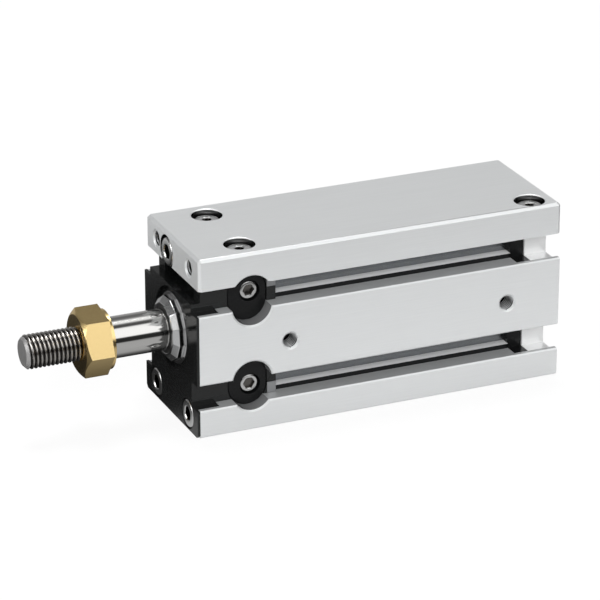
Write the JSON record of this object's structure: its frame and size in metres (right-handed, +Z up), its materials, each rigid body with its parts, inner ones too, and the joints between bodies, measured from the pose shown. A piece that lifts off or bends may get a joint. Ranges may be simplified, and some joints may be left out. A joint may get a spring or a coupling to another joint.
{
  "type": "compact pneumatic cylinder",
  "caption": "Compact double-acting pneumatic cylinder with a slotted aluminium body, bolted top plate, black front cover, side air ports and a threaded rod end with lock nut.",
  "frame": {"origin": "centre of the body's bottom face, which lies at z = 0", "axes": "+X along the rod's axis from the rod end towards the rear, +Y away from the side with the air ports, +Z up towards the top plate"},
  "size_m": [0.1584, 0.04, 0.054],
  "materials": {
    "body_aluminium": "satin anodised",
    "end_aluminium": "machined",
    "black_cover": "glossy black",
    "screw_steel": "plated",
    "nut_steel": "plain",
    "polished_steel": "polished",
    "yellow_brass": "yellow passivated",
    "bush_bronze": "sintered",
    "seal_rubber": "matte",
    "guide_plastic": "matte",
    "magnet": "matte"
  },
  "bodies": {
    "housing": {"body_profile": "body_aluminium", "top_plate": "body_aluminium", "plate_screws": "screw_steel", "plate_end_screw": "screw_steel", "front_cover": "black_cover", "front_cover_screws": "screw_steel", "side_lock_discs": "black_cover", "side_lock_screws": "screw_steel", "slot_nuts": "nut_steel", "rear_cover": "black_cover", "rear_block": "end_aluminium", "rear_screws": "screw_steel", "front_cover_seal": "seal_rubber", "rear_cover_seal": "seal_rubber", "nose_nut": "polished_steel", "nose_ring": "polished_steel", "rod_wiper": "seal_rubber", "rod_seal": "seal_rubber", "rod_bush": "bush_bronze", "front_bumper": "seal_rubber", "rear_bumper": "seal_rubber"},
    "rod": {"piston_rod": "polished_steel", "piston_front": "end_aluminium", "piston_rear": "end_aluminium", "piston_magnet": "magnet", "piston_guide_ring": "guide_plastic", "piston_seals": "seal_rubber", "piston_inner_seal": "seal_rubber", "piston_bolt": "screw_steel"},
    "lock_nut": {"rod_lock_nut": "yellow_brass"}
  },
  "joints": [
    {"name": "rod_slide", "type": "slide", "parent": "housing", "child": "rod", "axis": [-1, 0, 0], "range_m": [0, 0.05]},
    {"name": "lock_nut_turn", "type": "hinge", "parent": "rod", "child": "lock_nut", "pos_m": [-0.0818, 0, 0.0264], "axis": [-1, 0, 0], "continuous": true}
  ]
}
